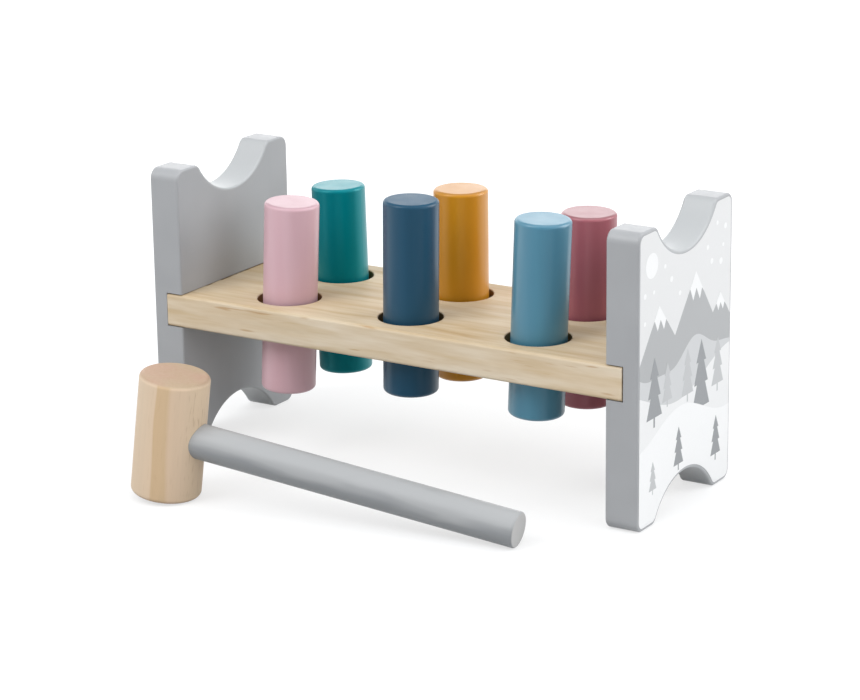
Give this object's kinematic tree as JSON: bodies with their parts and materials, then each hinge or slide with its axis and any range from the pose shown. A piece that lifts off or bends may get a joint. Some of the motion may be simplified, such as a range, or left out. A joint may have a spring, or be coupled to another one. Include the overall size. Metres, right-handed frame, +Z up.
{
  "type": "peg pounding bench",
  "caption": "Toy pounding bench: round wooden pegs gripped in a plank between two notched end boards, driven through with a wooden mallet, then turned over and driven back.",
  "frame": {"origin": "on the table, under the middle of the bench's four feet", "axes": "+X along the bench, +Y to its back, +Z up; the mallet lies in front, at -Y"},
  "size_m": [0.252, 0.1616, 0.132],
  "materials": {
    "grey_paint": "satin grey paint over wood",
    "pine": "bare sanded pine",
    "beech": "bare sanded beech",
    "black_rubber": "matt moulded rubber",
    "pink_lacquer": "satin pink lacquer over wood",
    "navy_lacquer": "satin navy lacquer over wood",
    "sky_lacquer": "satin sky-blue lacquer over wood",
    "teal_lacquer": "satin teal lacquer over wood",
    "amber_lacquer": "satin amber lacquer over wood",
    "rose_lacquer": "satin rose lacquer over wood"
  },
  "bodies": {
    "bench": {"end_board_left": "grey_paint", "end_board_right": "grey_paint", "peg_plank": "pine", "ring_pink": "black_rubber", "ring_navy": "black_rubber", "ring_sky": "black_rubber", "ring_teal": "black_rubber", "ring_amber": "black_rubber", "ring_rose": "black_rubber"},
    "pink_peg": {"peg_pink": "pink_lacquer"},
    "navy_peg": {"peg_navy": "navy_lacquer"},
    "sky_peg": {"peg_sky": "sky_lacquer"},
    "teal_peg": {"peg_teal": "teal_lacquer"},
    "amber_peg": {"peg_amber": "amber_lacquer"},
    "rose_peg": {"peg_rose": "rose_lacquer"},
    "mallet": {"mallet_head": "beech", "mallet_handle": "grey_paint"}
  },
  "joints": [
    {"name": "pink_drive", "type": "slide", "parent": "bench", "child": "pink_peg", "axis": [0.0523, 0, 0.9986], "range_m": [-0.0299, 0.0466]},
    {"name": "navy_drive", "type": "slide", "parent": "bench", "child": "navy_peg", "axis": [0.0175, 0, 0.9998], "range_m": [-0.0387, 0.0377]},
    {"name": "sky_drive", "type": "slide", "parent": "bench", "child": "sky_peg", "axis": [0.0436, 0, 0.999], "range_m": [-0.038, 0.0385]},
    {"name": "teal_drive", "type": "slide", "parent": "bench", "child": "teal_peg", "axis": [-0.0262, 0, 0.9997], "range_m": [-0.0281, 0.0483]},
    {"name": "amber_drive", "type": "slide", "parent": "bench", "child": "amber_peg", "axis": [0, 0, 1], "range_m": [-0.0344, 0.042]},
    {"name": "rose_drive", "type": "slide", "parent": "bench", "child": "rose_peg", "axis": [0.0175, 0, 0.9998], "range_m": [-0.0312, 0.0452]},
    {"name": "mallet_lift", "type": "slide", "parent": "bench", "child": "mallet", "axis": [0, 0, 1], "range_m": [0, 0.16]}
  ]
}
